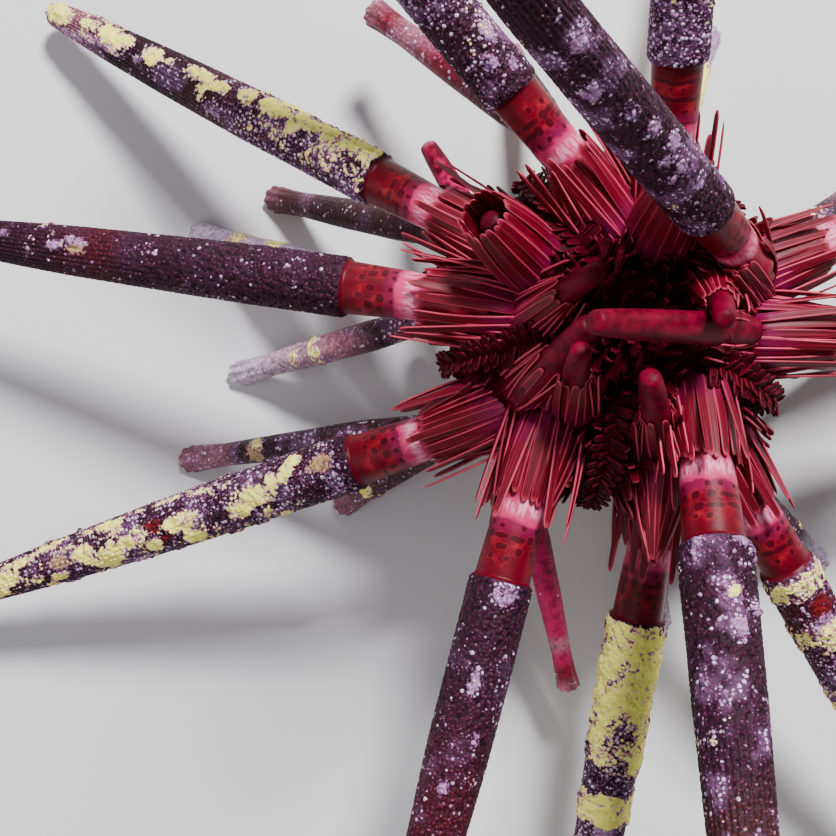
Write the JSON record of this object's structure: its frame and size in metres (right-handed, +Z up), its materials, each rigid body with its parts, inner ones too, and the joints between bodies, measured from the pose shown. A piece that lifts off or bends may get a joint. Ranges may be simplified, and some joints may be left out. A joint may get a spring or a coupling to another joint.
{
  "type": "pencil urchin",
  "caption": "Life-size pencil urchin with long blunt speckled spines, red spotted collars and fans of short flat spines, standing on its lower spines.",
  "frame": {"origin": "centre of the bounding box's base, on the floor that the lower spines stand on", "axes": "+Z up through the apex of the test; +Y is the top of the picture and +X its right"},
  "size_m": [0.1298, 0.116, 0.075],
  "materials": {
    "spined_test": "matt crimson flesh and rough plum spines with cream crust",
    "ambulacrum_skin": "matt crimson skin with small flat spines",
    "apical_plates": "dark crimson plates with short blunt spines",
    "mouth_skin": "soft reddish scaly skin",
    "tooth": "smooth off-white tooth"
  },
  "bodies": {
    "root": {"interambulacrum_1": "spined_test", "ambulacrum_1": "ambulacrum_skin", "interambulacrum_2": "spined_test", "ambulacrum_2": "ambulacrum_skin", "interambulacrum_3": "spined_test", "ambulacrum_3": "ambulacrum_skin", "interambulacrum_4": "spined_test", "ambulacrum_4": "ambulacrum_skin", "interambulacrum_5": "spined_test", "ambulacrum_5": "ambulacrum_skin", "apical_disc": "apical_plates", "peristome": "mouth_skin", "lantern_teeth": "tooth"}
  },
  "joints": []
}
